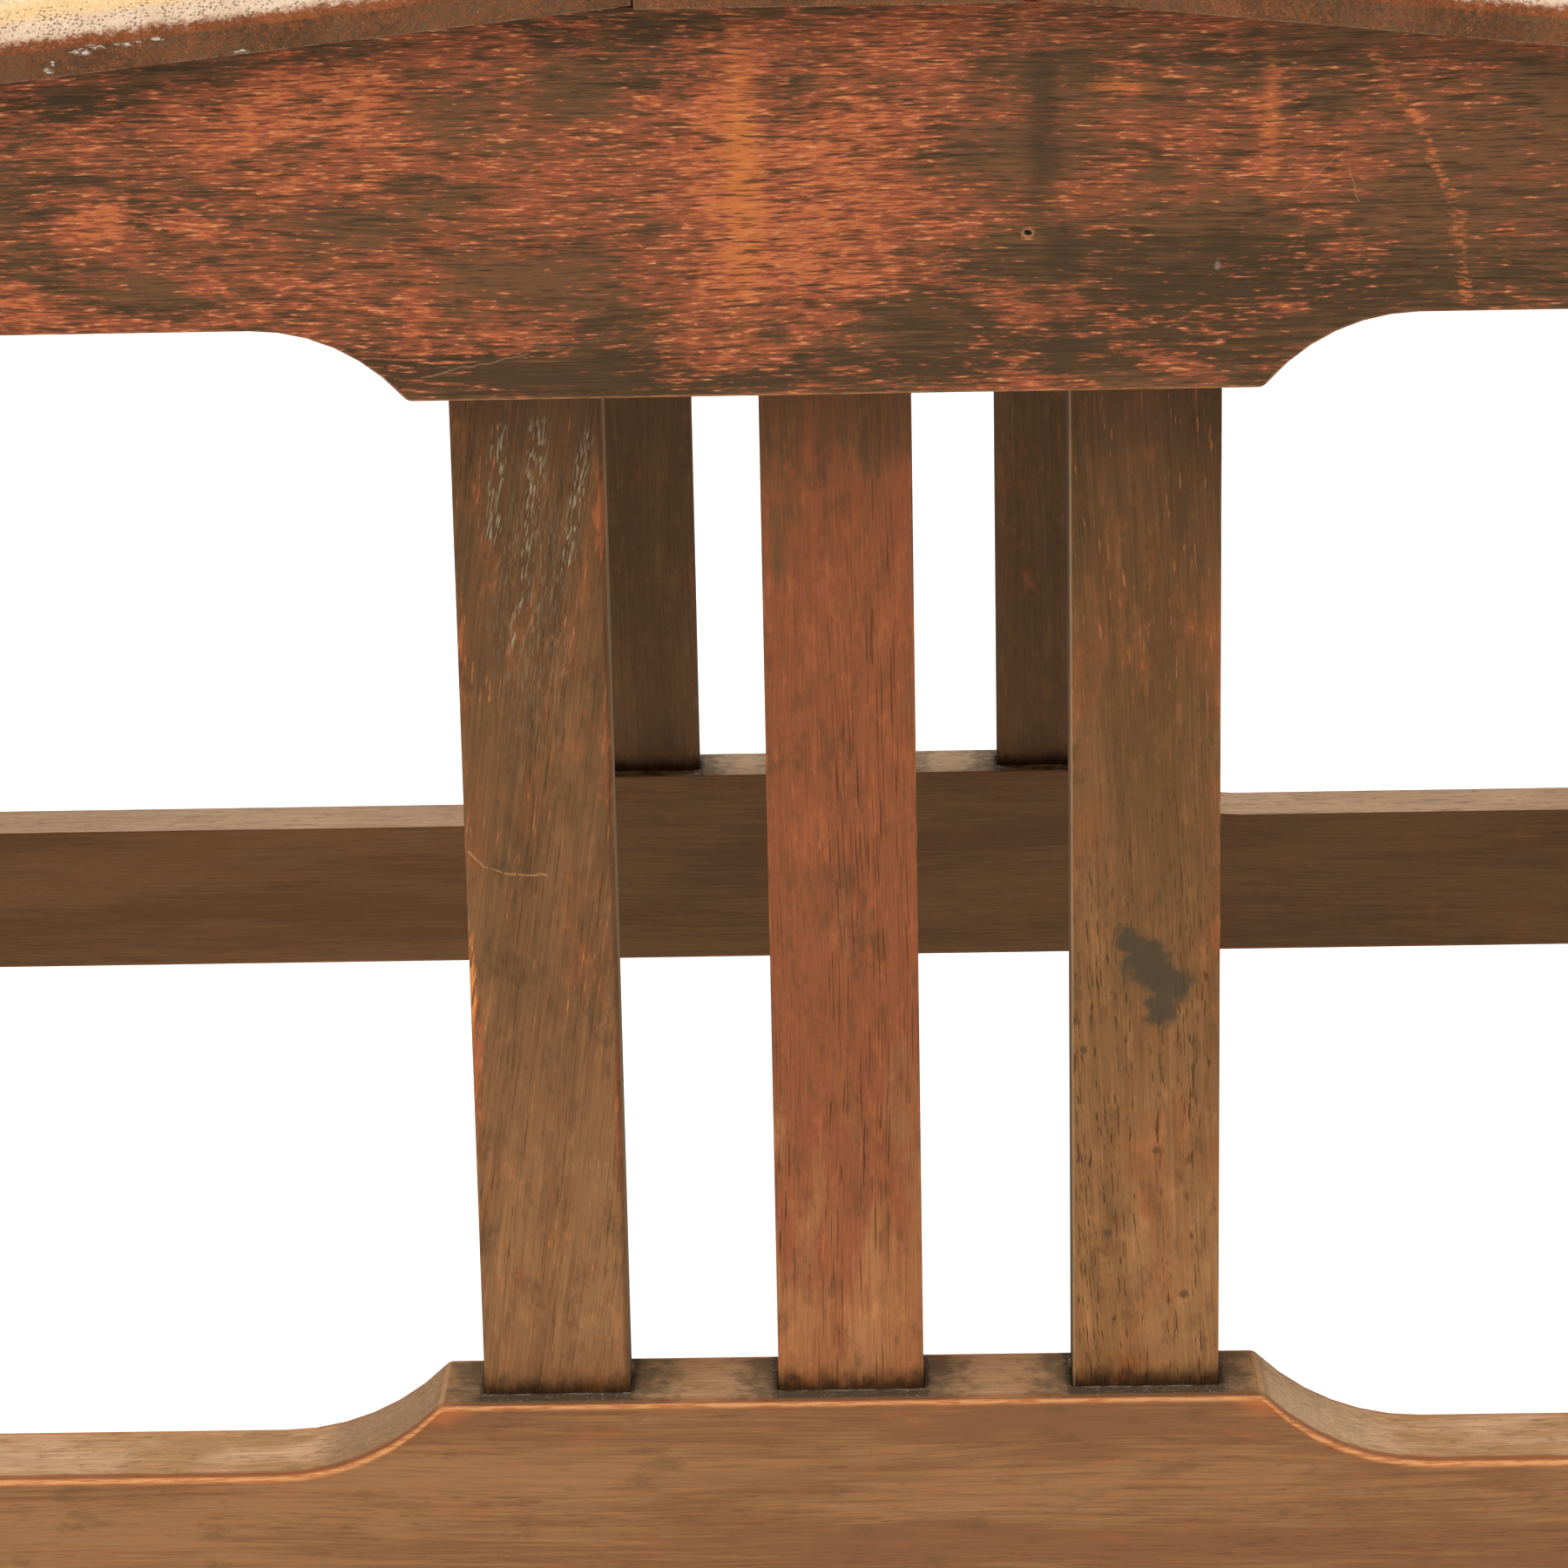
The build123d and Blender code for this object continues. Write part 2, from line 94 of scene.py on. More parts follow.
class Graph:
    """One material and the short names that its nodes are built with."""

    def __init__(self, name):
        self.material = bpy.data.materials.new(name)
        self.material.use_nodes = True
        self.tree = self.material.node_tree
        self.tree.nodes.clear()

    def put(self, socket, value):
        if isinstance(value, Value):
            self.tree.links.new(value.socket, socket)
        else:
            socket.default_value = value

    def add(self, kind, inputs=(), **settings):
        node = self.tree.nodes.new("ShaderNode" + kind)
        for key, value in settings.items():
            setattr(node, key, value)
        for key, value in dict(inputs).items():
            self.put(node.inputs[key], value)
        return node

    def math(self, operation, *terms):
        node = self.add("Math", operation=operation)
        for socket, term in zip(node.inputs, terms):
            self.put(socket, term)
        return Value(self, node.outputs[0])

    def largest(self, *terms):
        found = terms[0]
        for term in terms[1:]:
            found = self.math("MAXIMUM", found, term)
        return found

    def smallest(self, *terms):
        found = terms[0]
        for term in terms[1:]:
            found = self.math("MINIMUM", found, term)
        return found

    def smooth(self, value, low, high):
        node = self.add("MapRange", interpolation_type="SMOOTHSTEP")
        span = (low, high, 0.0, 1.0) if low < high else (high, low, 1.0, 0.0)
        for socket, term in zip(node.inputs, (value, *span)):
            self.put(socket, term)
        return Value(self, node.outputs[0])

    def vector(self, operation, *terms):
        node = self.add("VectorMath", operation=operation)
        for socket, term in zip(node.inputs, terms):
            self.put(socket, term)
        is_number = operation in ("DOT_PRODUCT", "LENGTH")
        return Value(self, node.outputs["Value" if is_number else "Vector"])

    def scaled(self, vector, factor):
        node = self.add("VectorMath", {"Vector": vector, "Scale": factor}, operation="SCALE")
        return Value(self, node.outputs["Vector"])

    def split(self, vector):
        node = self.add("SeparateXYZ", {"Vector": vector})
        return [Value(self, out) for out in node.outputs]

    def join(self, x, y, z):
        node = self.add("CombineXYZ", {"X": x, "Y": y, "Z": z})
        return Value(self, node.outputs["Vector"])

    def noise(self, place, size, seed, detail=2.0, roughness=0.5):
        """Noise from about 0.25 to 0.75, with blotches as long as size says in place's units."""
        shift = [seed, seed * 0.7, seed * 0.3]
        across = self.vector("MULTIPLY_ADD", place, [1 / s for s in size], shift)
        node = self.add("TexNoise", {
            "Vector": across, "Scale": 1.0, "Detail": detail, "Roughness": roughness,
        })
        return Value(self, node.outputs["Fac"])

    def mix(self, share, low, high):
        """The colour low where share is 0 and high where it is 1."""
        node = self.add("Mix", data_type="RGBA")
        for index, term in ((0, share), (6, low), (7, high)):
            self.put(node.inputs[index], stain(term) if isinstance(term, str) else term)
        return Value(self, node.outputs[2])

    def shade(self, colour, factor):
        """The colour made lighter or darker by a factor that varies over the surface."""
        return self.vector("MULTIPLY", colour, self.join(factor, factor, factor))

    def surface(self, inputs):
        """Ends the material with one shader that has these inputs."""
        shader = self.add("BsdfPrincipled", inputs)
        output = self.add("OutputMaterial")
        self.tree.links.new(shader.outputs[0], output.inputs["Surface"])
        return self.material


class Marks:
    """Spots and scratches on a flat face, placed by two coordinates in millimetres.

    Ragged is how many millimetres their outlines wander to and fro.
    """

    WAVES_PER_MM = 0.33

    def __init__(self, graph, across, up, ragged):
        self.graph = graph
        place = graph.join(across, up, 0.0)
        waves = graph.add("TexNoise", {
            "Vector": graph.scaled(place, self.WAVES_PER_MM), "Scale": 1.0, "Detail": 3.0,
        })
        wander = graph.vector("SUBTRACT", Value(graph, waves.outputs["Color"]), [0.5, 0.5, 0.5])
        wander = graph.vector("MULTIPLY", wander, [ragged, ragged, 0.0])
        self.place = graph.vector("ADD", place, wander)

    def spot(self, centre, size, soft=0.5):
        """An oval of half width and half height size, which fades over the share soft of it."""
        g = self.graph
        away = g.vector("SUBTRACT", self.place, [centre[0], centre[1], 0.0])
        share = g.vector("LENGTH", g.vector("MULTIPLY", away, [1 / size[0], 1 / size[1], 0.0]))
        return share.over(1.0, 1.0 - soft)

    def scratch(self, start, end, width):
        """A straight line that fades out at width from its middle."""
        g = self.graph
        run = [end[0] - start[0], end[1] - start[1], 0.0]
        away = g.vector("SUBTRACT", self.place, [start[0], start[1], 0.0])
        along = g.vector("DOT_PRODUCT", away, run) * (1 / (run[0] ** 2 + run[1] ** 2))
        along.socket.node.use_clamp = True
        back = g.vector("SUBTRACT", away, g.scaled(g.join(*run), along))
        return g.vector("LENGTH", back).over(width, width * 0.3)


# Oak

# The old finish is a coat that has worn thin, then red, then orange with pale dashes. Each piece
# changes some of these values. Colours called low hold near the floor, and top near the seat.
OAK = dict(
    # The coat has a darker and a lighter tone, and is thin in soft patches.
    low_dark="7a5434", low_coat="946a45", top_dark="523c2a", top_coat="6c4a32", soft="7b4b32",
    # Colours of the deeper wear, open pores and rubbed edges, and the painted shading of slats'
    # sides
    red="925037", orange="b9673f", pale="cf8d5b", pore="32261b", edge="b4683a", aside="5a4733",
    # How much more than usual the piece is worn, and how strongly each layer shows, from 0 to 1
    worn=0.0, tint=0.7, reds=0.85, oranges=0.85, pales=0.7, flecks=0.0, pores=0.6, edge_share=0.7,
    # Strength of the fine lines, slope of the fibres, and length of the strokes as a share
    lines=0.45, lean=0.0, stroke=1.0,
    # Millimetres
    pore_width=0.26, pore_length=5.0, edge_size=0.8,
    # Roughness of the shader, which the grain varies
    rough=0.55,
)

# The average of the weighted noises that make up the wear
USUAL_WEAR = 0.66
OAK_SPECULAR = 0.16
GRAIN_DEPTH = 0.00012


class Finish:
    """What one kind of piece adds to the oak: what lies on top, where it is worn, where pores show.

    Wear and pores are functions of the namespace that wood() makes. Paint also gets the colour
    and roughness so far, and gives them back changed.
    """

    def __init__(self, paint=None, wear=None, pores=None):
        self.paint = paint
        self.wear = wear
        self.pores = pores


def wood(g, grain, seed, look):
    """What is known at each point of a piece: its place in millimetres and the wood's noises.

    Noises differ in what they add to the seed, here and in the finishes.
    """
    place = g.scaled(Value(g, g.add("TexCoord").outputs["Object"]), MM)
    facing = Value(g, g.add("NewGeometry").outputs["Normal"])
    x, y, z = g.split(place)
    along, across, through = {"x": (x, z, y), "y": (y, x, z), "z": (z, x, y)}[grain]
    fibres = g.join(along + seed * 131.0, across + along * look["lean"], through + seed * 17.0)
    bend = g.noise(fibres, (110, 30, 30), seed, 1.0) - 0.5
    fibres = g.vector("ADD", fibres, g.join(0.0, bend * 6.0, bend * 4.0))
    stroke = look["stroke"]
    return SimpleNamespace(
        g=g, seed=seed, look=look, x=x, y=y, z=z, place=place, facing=facing, fibres=fibres,
        front=g.vector("DOT_PRODUCT", facing, [0.0, -1.0, 0.0]).over(0.6, 0.9),
        up=g.split(facing)[2],
        broad=g.noise(fibres, (90, 14, 16), seed + 5, 2.0),
        patch=g.noise(fibres, (26, 9, 11), seed + 7, 5.0, 0.65),
        band=g.noise(fibres, (16 * stroke, 1.1, 1.3), seed + 9, 4.0, 0.6),
        strand=g.noise(fibres, (10 * stroke, 0.42, 0.42), seed + 25, 2.0, 0.6),
        dash=g.noise(fibres, (4.6 * stroke, 0.42, 0.42), seed + 11, 2.0, 0.55),
        line=g.noise(fibres, (30, 0.45, 0.45), seed + 13, 2.0, 0.6),
        rings=g.noise(fibres, (240, 2.4, 2.4), seed + 17, 1.0),
    )


def worn_coat(at, wear, cloud):
    """The colour of the worn finish, and the share of red in it."""
    g, look = at.g, at.look
    height = at.z.over(165.0, 400.0)
    dark = g.mix(height, look["low_dark"], look["top_dark"])
    coat = g.mix(height, look["low_coat"], look["top_coat"])
    colour = g.mix((at.broad * 0.5 + at.band * 0.3 + at.line * 0.2).over(0.42, 0.58), dark, coat)
    colour = g.mix(cloud.over(0.43, 0.58) * look["tint"], colour, look["soft"])
    red = wear.over(-0.012, 0.03) * look["reds"]
    colour = g.mix(red, colour, look["red"])
    orange = (wear + (at.dash - 0.5) * 0.3).over(0.075, 0.13) * look["oranges"]
    colour = g.mix(orange, colour, look["orange"])
    pale = at.dash.over(0.61, 0.69) * wear.over(0.02, 0.07) * look["pales"]
    colour = g.mix(pale, colour, look["pale"])
    if look["flecks"]:
        gaps = (at.strand * 0.6 + at.band * 0.4).over(0.47, 0.40)
        colour = g.mix(gaps * look["flecks"], colour, dark)
    lines = (at.line - 0.5) * (1.3 * look["lines"])
    strands = (at.strand - 0.5) * (0.7 * look["lines"])
    return g.shade(colour, 1.0 + lines + strands), red


def oak(name, grain, seed, finish=Finish(), **changes):
    """Stained oak whose coat has worn thin. Grain is the axis that the fibres follow."""
    look = dict(OAK, **changes)
    g = Graph(name)
    at = wood(g, grain, seed, look)

    pore_size = (look["pore_length"], look["pore_width"], look["pore_width"])
    pores = g.noise(at.fibres, pore_size, seed + 19, 1.0).over(0.60, 0.67)
    pores = pores * at.rings.over(0.44, 0.56)
    if finish.pores:
        pores = pores * finish.pores(at)

    local = finish.wear(at) if finish.wear else 0.0
    wear = at.patch * 0.42 + at.band * 0.25 + at.strand * 0.33 + at.dash * 0.32
    wear = wear + (look["worn"] - USUAL_WEAR + local)
    cloud = at.patch * 0.8 + at.broad * 0.2 + (look["worn"] + local) * 1.6
    colour, red = worn_coat(at, wear, cloud)
    colour = g.mix(pores * look["pores"], colour, look["pore"])

    # Edges are rounded by the bevel's normal, and rubbed where it turns.
    bevel = g.add("Bevel", {"Radius": look["edge_size"] / MM}, samples=6)
    rounded = Value(g, bevel.outputs["Normal"])
    at.turn = 1.0 - g.vector("DOT_PRODUCT", at.facing, rounded)
    rub = g.noise(at.fibres, (14, 7, 7), seed + 23, 3.0, 0.65)
    edge = at.turn.over(0.004, 0.10) * rub.over(0.38, 0.56)
    bare = g.mix(at.dash.over(0.42, 0.58), look["edge"], look["pale"])
    colour = g.mix(edge * look["edge_share"], colour, bare)

    roughness = look["rough"] + (at.band - 0.5) * 0.4 + pores * 0.2
    if finish.paint:
        colour, roughness = finish.paint(colour, roughness, at)

    relief = at.dash * 0.5 + at.line * 0.5 + at.strand * 0.3 - pores * 0.6 - red * 0.2
    bump = g.add("Bump", {
        "Height": relief, "Strength": 0.4, "Distance": GRAIN_DEPTH, "Normal": rounded,
    })
    return g.surface({
        "Base Color": colour, "Roughness": roughness, "Normal": Value(g, bump.outputs["Normal"]),
        "Specular IOR Level": OAK_SPECULAR,
    })


def dress(node, material):
    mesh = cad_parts[node].data
    mesh.materials.clear()
    mesh.materials.append(material)


# Finishes that follow the photograph. Marks are at x and z in millimetres.

def apron_wear(at):
    marks = Marks(at.g, at.x, at.z, 8.0)
    more = at.g.largest(
        # Left third
        marks.spot((-84, 416), (22, 12), 0.8) * 0.9,
        marks.spot((-100, 411), (38, 15), 0.9) * 0.42,
        marks.spot((-121, 398), (9, 3.5), 0.6),
        marks.spot((-105, 398), (9, 3), 0.6),
        marks.spot((-103, 387.5), (6, 3), 0.6) * 0.9,
        marks.spot((-134, 385), (7, 4), 0.6),
        marks.spot((-69, 381), (5, 8), 0.8) * 0.8,
        # Light streak in the middle and the worn ground round it
        marks.spot((-16, 404), (12, 36), 0.8) * 1.3,
        marks.spot((-12, 404), (30, 30), 0.8) * 0.75,
        marks.spot((2, 401), (22, 29), 0.85) * 1.08,
        marks.spot((-52, 398), (16, 14), 0.9) * 0.3,
        # Right third
        marks.spot((71, 411), (3, 17), 0.8) * 0.45,
        marks.spot((47, 417), (9, 3), 0.9) * 0.6,
        marks.spot((53, 409), (16, 9), 0.9) * 0.3,
        marks.spot((85, 404), (12, 12), 0.9) * 0.15,
    )
    less = at.g.largest(
        marks.spot((-112, 386), (14, 5), 0.8) * 0.8,
        marks.spot((-60, 401), (12, 3.5), 0.9) * 0.6,
        marks.spot((-116, 405), (14, 3), 0.9) * 0.5,
        marks.spot((-44, 418.5), (13, 5), 0.9) * 0.8,
        marks.spot((-46, 386), (26, 13), 0.8) * 0.5,
        marks.spot((-46, 372.5), (30, 6), 0.7) * 0.9,
        marks.spot((12, 378), (22, 11), 0.8) * 0.6,
        marks.spot((44, 374), (26, 9), 0.8) * 0.6,
        marks.spot((31, 402), (14, 36), 0.9) * 0.8,
        marks.spot((60, 389), (34, 12), 0.8) * 0.6,
        marks.spot((104, 398), (44, 44), 0.7) * 0.15,
        at.z.over(374, 367) * 0.35,
    )
    right = at.x.over(34.0, 66.0) * 0.03
    far_right = at.x.over(92.0, 120.0) * 0.012
    return more * 0.115 - less * 0.085 - right + far_right


def apron_paint(colour, roughness, at):
    g, front, dash = at.g, at.front, at.dash
    fine = Marks(g, at.x, at.z, 1.6)
    rough = Marks(g, at.x, at.z, 4.0)

    glow = g.largest(
        fine.spot((-14.5, 404), (4.5, 34), 0.9),
        fine.spot((71.5, 411), (2.6, 19), 0.95) * 0.5,
        fine.spot((47, 417.5), (8, 1.8), 0.9) * 0.8,
    ) * front
    colour = g.mix(glow * 0.62 * at.strand.over(0.36, 0.54), colour, "c8753c")

    # A long curved scuff that takes only the raised fibres
    scuff = g.largest(
        rough.scratch((88, 421.8), (93.3, 413.9), 1.3),
        rough.scratch((93.3, 413.9), (96.9, 406.9), 1.2),
        rough.scratch((96.9, 406.9), (101.4, 398), 1.3),
        rough.scratch((101.4, 398), (102.4, 391.7), 1.6),
        rough.scratch((102.4, 391.7), (103.8, 381.1), 1.3),
    )
    colour = g.mix(scuff * front * dash.over(0.49, 0.56) * 0.7, colour, "bf6b3e")

    lower_edge = at.turn.over(0.003, 0.04) * front * at.z.over(374.0, 370.0)
    colour = g.mix(lower_edge * (0.3 + dash.over(0.42, 0.55) * 0.45), colour, "c08459")
    scratches = g.largest(
        fine.scratch((-68, 371.5), (-50, 375.2), 0.2),
        fine.scratch((76, 399.5), (83.5, 406.5), 0.16),
        fine.scratch((84, 404), (86, 398), 0.16),
    )
    colour = g.mix(scratches * front * 0.3, colour, "b98c68")

    smudge = g.largest(
        rough.spot((34.5, 410), (4.5, 22), 0.9),
        rough.spot((37.5, 391), (4.5, 7), 0.9),
        rough.spot((36.5, 378), (4.5, 13), 0.9) * 0.7,
    )
    colour = g.mix(smudge * front * 0.72, colour, "443628")
    dark = g.largest(fine.spot((-31, 394), (4, 2.2), 0.8), fine.spot((-84, 399), (6, 3), 0.9))
    colour = g.mix(dark * front * 0.4, colour, "45372a")

    # A nail hole with a pale rim, and a small light dot
    rim = fine.spot((32, 393.7), (1.3, 1.2), 0.5)
    hole = fine.spot((32, 393.9), (0.7, 0.6), 0.4)
    colour = g.mix(rim * front * 0.6, colour, "b77b52")
    colour = g.mix(hole * front, colour, "140d09")
    dot = fine.spot((62.8, 387.8), (0.7, 0.7), 0.5)
    return g.mix(dot * front * 0.6, colour, "85796a"), roughness


def stretcher_top(at, raised, sloped, nearest):
    """The light, dusty upper faces: the low runs, the coves and the raised middle."""
    g, look, strand = at.g, at.look, at.strand
    dusty = g.mix(at.patch.over(0.40, 0.60), look["dust"], look["dust_dark"])
    dusty = g.shade(dusty, 1.0 + (at.line - 0.5) * 0.8 + (strand - 0.5) * 0.5)
    left_to_right = (at.x + (at.patch - 0.5) * 30.0).over(-60.0, -40.0)
    cove = g.mix(left_to_right, look["cove_left"], look["cove_right"])
    cove = g.shade(cove, 0.9 + (strand - 0.5) * 0.5 + at.patch * 0.2)
    dusty = g.mix(sloped * 0.75, dusty, cove)
    dusty = g.mix(raised * 0.7, dusty, look["raised"])
    streak = g.noise(at.place, (9, 0.5, 0.5), at.seed + 45, 3.0, 0.65)
    dusty = g.shade(dusty, 1.0 + (streak - 0.5) * 1.1)

    # Dirt and light specks round the slats' feet, and a painted shadow in the gap in front of each
    # foot
    deep = abs(at.y)
    spot = g.noise(at.place, (3.2, 3.2, 3.2), at.seed + 27, 3.0, 0.65)
    dirt = (nearest + (spot - 0.5) * 22.0).over(23.0, 14.0) * raised
    speck = g.noise(at.place, (0.6, 0.5, 0.5), at.seed + 29, 3.0, 0.8).over(0.60, 0.70)
    dusty = g.mix(dirt * 0.75, dusty, "554939")
    painted_gap_shadow = (nearest + (spot - 0.5) * 3.0).over(SLAT_HALF_WIDTH + 1.6, SLAT_HALF_WIDTH + 0.6)
    painted_gap_shadow = painted_gap_shadow * raised * deep.over(RAIL_FACE - 1.8, RAIL_FACE - 3.0)
    dusty = g.mix(painted_gap_shadow * 0.75, dusty, "40382e")
    dusty = g.mix(speck * (dirt * 0.4 + painted_gap_shadow * 0.5), dusty, "b9b1a4")
    foot = nearest.over(SLAT_HALF_WIDTH + 0.5, SLAT_HALF_WIDTH - 0.1) * raised
    foot = foot * deep.over(SLAT_FACE + 1.25, SLAT_FACE + 0.55)
    dusty = g.mix(foot * spot.over(0.42, 0.55) * 0.5, dusty, "a3977f")

    # A painted highlight along the arris where the raised middle meets the coves
    corner = abs(abs(at.x) - (RAISED_HALF_WIDTH + 0.1)).over(0.7, 0.3)
    corner = corner * at.z.over(RAISED_TOP - 4.0, RAISED_TOP - 2.0)
    dusty = g.mix(corner * 0.6, dusty, "c39c6c")
    grime = g.noise(at.place, (5, 2.6, 4), at.seed + 49, 5.0, 0.75)
    dusty = g.mix(grime.over(0.52, 0.68) * 0.5, dusty, "6e5840")
    return g.mix(speck * grime.over(0.45, 0.58) * 0.35, dusty, "cbbda8")


def stretcher_paint(colour, roughness, at):
    """Changes in look: dust, dust_dark, raised, cove_left and cove_right are colours of the top.

    arris, glow and smut say how strongly the worn arris, the lighter left and the smuts show.
    """
    g, look, x, z, dash = at.g, at.look, at.x, at.z, at.dash
    top = at.up.over(0.25, 0.7)
    sloped = at.up.over(0.999, 0.96) * top
    raised = z.over(RAISED_TOP - 2.0, RAISED_TOP - 0.4)
    nearest = g.smallest(*[abs(x - place) for place in SLAT_PLACES])

    smut = g.noise(at.place, (13, 6, 6), at.seed + 47, 5.0, 0.68)
    colour = g.mix(smut.over(0.55, 0.68) * look["smut"], colour, "5f4b31")
    colour = g.mix(smut.over(0.42, 0.33) * look["smut"] * 0.6, colour, "a8613c")
    colour = g.shade(colour, 1.0 + x.over(-60.0, -110.0) * look["glow"])
    colour = g.mix(top, colour, stretcher_top(at, raised, sloped, nearest))

    # The worn outer arris: a rust line on the top, then bare wood where the edge turns
    outer = g.largest(
        abs(at.y).over(RAIL_FACE - 2.4, RAIL_FACE - 1.6),
        nearest.over(SLAT_HALF_WIDTH + 0.9, SLAT_HALF_WIDTH + 2.3),
    ) * look["arris"]
    lip = (abs(at.y) + (dash - 0.5) * 1.2).over(RAIL_FACE - 3.6, RAIL_FACE - 2.2) * top * outer
    colour = g.mix(lip * (0.75 - raised * 0.35), colour, "8a4c29")
    ends = Marks(g, abs(x), z, 3.0)
    end = ends.spot((71.5, 189.0), (7.0, 3.2), 0.8) * at.front * look["arris"] * 0.6
    colour = g.mix(end, colour, "b8683a")
    turned = at.turn * (1.2 + z.over(187.0, 181.0) * 2.8) + (dash - 0.5) * 0.05
    colour = g.mix(turned.over(0.003, 0.03) * outer * 0.8, colour, "a3562e")
    core = turned.over(0.045, 0.09) * outer * (1.0 - sloped * 0.4)
    colour = g.mix(core, colour, g.mix(dash.over(0.38, 0.56), "d07c46", "f2ab6e"))
    return colour, roughness + top * 0.1


def slat_paint(colour, roughness, at):
    g, z = at.g, at.z
    # Painted shade at the slat's foot, where it goes into the stretcher
    spot = g.noise(at.place, (2.5, 2.5, 3.5), at.seed + 31, 3.0, 0.6)
    foot = (z + (spot - 0.5) * 6.0).over(RAISED_TOP + 4.5, RAISED_TOP)
    colour = g.mix(foot * 0.85, colour, "2b2119")
    smut = g.noise(at.place, (7, 7, 14), at.seed + 43, 5.0, 0.7)
    colour = g.mix(smut.over(0.54, 0.70) * 0.5, colour, "4b3a28")
    colour = g.mix(smut.over(0.42, 0.32) * 0.25, colour, "a25c34")
    mottle = g.noise(at.place, (2.6, 2.6, 6.5), at.seed + 51, 5.0, 0.65)
    colour = g.mix(mottle.over(0.54, 0.66) * 0.38, colour, "5c422b")
    # Painted light low on the slat and painted shade near its top
    painted_light_and_shade = z.over(250.0, 210.0) * 0.1 - z.over(310.0, 350.0) * 0.08
    colour = g.shade(colour, 1.0 + mottle.over(0.46, 0.35) * 0.22 + painted_light_and_shade)
    # Painted light and shade on the side faces, in the gaps between the slats
    aside = abs(g.split(at.facing)[0]).over(0.5, 0.9)
    colour = g.mix(aside * 0.7, colour, at.look["aside"])
    return colour, roughness + aside * 0.5


def left_slat_wear(at):
    marks = Marks(at.g, at.x, at.z, 2.5)
    return at.g.largest(
        marks.spot((-39.2, 346), (1.8, 11), 0.8),
        marks.spot((-63.8, 254), (1.7, 26), 0.9),
        marks.spot((-45, 322), (2.2, 9), 0.9) * 0.3,
        marks.spot((-39.5, 305), (1.2, 24), 0.9) * 0.6,
        marks.spot((-39.5, 240), (1.2, 20), 0.9) * 0.6,
        marks.spot((-63.6, 318), (1.2, 12), 0.9) * 0.5,
    ) * 0.3


def left_slat_paint(colour, roughness, at):
    colour, roughness = slat_paint(colour, roughness, at)
    g, front = at.g, at.front
    marks = Marks(g, at.x, at.z, 1.2)

    # Pale filler left in the pores at the top
    filled = g.largest(
        marks.scratch((-56, 361), (-57.5, 343), 2.0),
        marks.scratch((-49.5, 362), (-50.5, 349), 2.4),
        marks.scratch((-50.5, 352), (-54.5, 325), 1.4),
        marks.scratch((-41.5, 360), (-45.5, 338), 1.8),
        marks.spot((-51, 330), (11, 36), 0.8) * 0.35,
    )
    filler = g.noise(at.fibres, (2.6, 0.26, 0.26), at.seed + 41, 1.0).over(0.56, 0.62)
    colour = g.mix(filled * filler * front * 0.65, colour, "a1967a")

    scratch = g.largest(
        marks.scratch((-63.8, 288.6), (-61, 286), 0.24),
        marks.scratch((-61, 286), (-57, 284.6), 0.18),
        marks.scratch((-57, 284.6), (-50.5, 284.2), 0.26),
    )
    colour = g.mix(scratch * front * at.dash.over(0.36, 0.46) * 0.6, colour, "ba8355")
    chip = marks.spot((-63.9, 266), (1.1, 12), 0.6) * front
    colour = g.mix(chip * at.dash.over(0.40, 0.5), colour, "d08348")
    # A dark line painted along the front face's right edge, as shade where the edge turns away
    arris = at.x.over(-39.9, -39.2) * front
    return g.mix(arris * 0.5, colour, "4a3020"), roughness


def centre_slat_wear(at):
    marks = Marks(at.g, at.x, at.z, 3.0)
    red_middle = marks.spot((0, 292), (26, 84), 0.6) * 0.09
    red_edge = marks.spot((-12, 330), (2.5, 40), 0.8) * 0.05
    kept_foot = at.z.over(225.0, 200.0) * 0.05
    kept_top = at.z.over(350.0, 374.0) * 0.18
    kept_spot = marks.spot((2, 331), (7, 5), 0.9) * 0.08
    kept_side = marks.spot((-9, 336), (4, 6), 0.9) * 0.06
    return red_middle - kept_foot + red_edge - kept_top - kept_spot - kept_side


def centre_slat_pores(at):
    return (at.x * 5.0 - at.z).over(-390.0, -270.0)


def right_slat_wear(at):
    return Marks(at.g, at.x, at.z, 1.5).spot((64, 271.5), (1.6, 4.5), 0.7) * 0.35


def right_slat_pores(at):
    return (at.z + (at.patch - 0.5) * 60.0).over(300.0, 262.0) * 0.85 + 0.15


def right_slat_paint(colour, roughness, at):
    colour, roughness = slat_paint(colour, roughness, at)
    g, front = at.g, at.front

    # A dark blotch with a faint halo, and four small spots
    marks = Marks(g, at.x, at.z, 6.5)
    blotch = g.largest(
        marks.spot((49.0, 271.0), (4.4, 3.0), 0.5),
        marks.spot((51.8, 267.0), (5.2, 5.0), 0.45),
        marks.spot((56.0, 263.4), (5.2, 4.8), 0.45),
        marks.spot((54.2, 259.4), (3.4, 5.0), 0.5),
    )
    halo = marks.spot((53.0, 265.0), (9.5, 12.0), 0.9)
    colour = g.mix(halo * front * 0.25, colour, "5e4a30")
    colour = g.mix(blotch * front * 0.86, colour, "4a4030")
    small = Marks(g, at.x, at.z, 1.0)
    spots = g.largest(
        small.spot((45.0, 218.3), (1.0, 1.0)),
        small.spot((58.2, 206.7), (1.0, 1.0)),
        small.spot((53.3, 233.3), (0.8, 0.8)),
        small.spot((40.9, 251.7), (0.8, 0.8)),
    )
    colour = g.mix(spots * front * 0.7, colour, "4d3f2f")

    specks = at.dash.over(0.66, 0.71) * at.z.over(280, 320) * front
    colour = g.mix(specks * 0.5, colour, "b06c42")
    # A pale line painted along the front face's left edge, as a highlight on the rounded arris
    arris = at.x.over(39.3, 39.05) * front
    return g.mix(arris * 0.5, colour, "a38b68"), roughness


